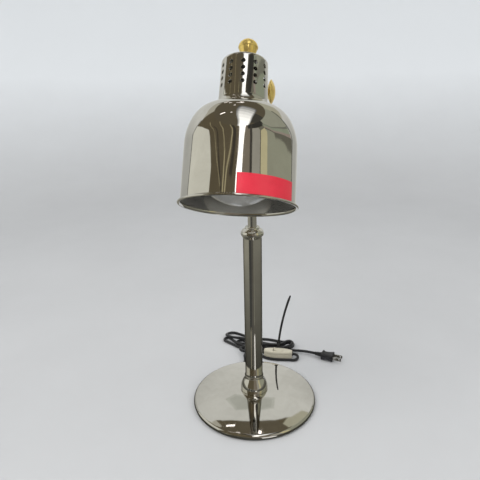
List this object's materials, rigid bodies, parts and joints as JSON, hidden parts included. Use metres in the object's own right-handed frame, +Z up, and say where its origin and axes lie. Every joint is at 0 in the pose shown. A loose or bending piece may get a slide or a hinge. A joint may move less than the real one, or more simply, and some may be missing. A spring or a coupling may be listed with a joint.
{
  "type": "table heat lamp",
  "caption": "Polished table heat lamp with domed round base, telescopic column, tilting bell shade with vented neck, reflector lamp and a tied cord with in-line switch and plug.",
  "frame": {"origin": "centre of the underside of the base, on the table", "axes": "+Z up along the column, -Y to the front where the shade leans out, +X to the side of the tilt knob"},
  "size_m": [0.2859, 0.4555, 0.635],
  "materials": {
    "chrome": "polished",
    "iron": "rough",
    "steel": "zinc plated",
    "black_rubber": "matte",
    "nylon": "matte",
    "red_vinyl": "satin",
    "polished_brass": "polished",
    "porcelain": "glazed",
    "contact_brass": "plain",
    "frosted_glass": "frosted inside",
    "black_pvc": "satin",
    "black_nylon": "satin",
    "blade_metal": "nickel plated",
    "ivory_plastic": "satin"
  },
  "bodies": {
    "stand": {"base_shell": "chrome", "base_weight": "iron", "base_plate": "steel", "base_plate_screws": "steel", "base_pad": "black_rubber", "stud_washer": "steel", "stud_nut": "steel", "column_stud": "steel", "cord_bush": "black_rubber", "column_foot": "chrome", "column_tube": "chrome", "column_insert": "steel", "collar_ring": "chrome", "collar_bush": "nylon", "cord_lead": "black_pvc", "cord_link": "black_pvc", "cord_tail": "black_pvc", "cord_hank": "black_pvc", "cable_tie": "black_nylon", "plug_body": "black_pvc", "plug_blades": "blade_metal", "switch_lower": "ivory_plastic", "switch_upper": "ivory_plastic", "switch_screws": "steel", "switch_sleeves": "black_rubber"},
    "collar": {"clamp_collar": "chrome"},
    "carriage": {"mast_guide": "nylon"},
    "mast": {"mast_tube": "chrome", "mast_stops": "steel", "mast_knuckle": "chrome"},
    "head": {"shade": "chrome", "shade_neck": "chrome", "blank_label": "red_vinyl", "top_knob": "polished_brass", "stem_tube": "steel", "stem_nut": "steel", "lamp_holder": "porcelain", "holder_thread": "contact_brass", "holder_contact": "contact_brass", "holder_nut": "steel", "lamp_glass": "frosted_glass", "lamp_cap": "contact_brass", "lamp_contact": "contact_brass", "head_bracket": "chrome", "backing_plate": "steel", "bracket_screws": "steel", "friction_washers": "nylon", "pivot_bolt": "steel"},
    "knob": {"tilt_knob": "polished_brass"},
    "rocker": {"switch_rocker": "ivory_plastic"}
  },
  "joints": [
    {"name": "height", "type": "slide", "parent": "stand", "child": "carriage", "axis": [0, 0, 1], "range_m": [-0.1, 0.08]},
    {"name": "swivel", "type": "hinge", "parent": "carriage", "child": "mast", "pos_m": [0, 0, 0.2], "axis": [0, 0, 1], "range_deg": [-170, 170]},
    {"name": "tilt", "type": "hinge", "parent": "mast", "child": "head", "pos_m": [0, 0, 0.561], "axis": [-1, 0, 0], "range_deg": [-6, 55]},
    {"name": "knob_turn", "type": "hinge", "parent": "head", "child": "knob", "pos_m": [0.032, 0, 0.561], "axis": [1, 0, 0], "range_deg": [0, 540]},
    {"name": "collar_turn", "type": "hinge", "parent": "stand", "child": "collar", "pos_m": [0, 0, 0.339], "axis": [0, 0, 1], "range_deg": [0, 90]},
    {"name": "switch_rock", "type": "hinge", "parent": "stand", "child": "rocker", "pos_m": [0.032, 0.153, 0.0142], "axis": [0, 1, 0], "range_deg": [-16, 0]}
  ]
}
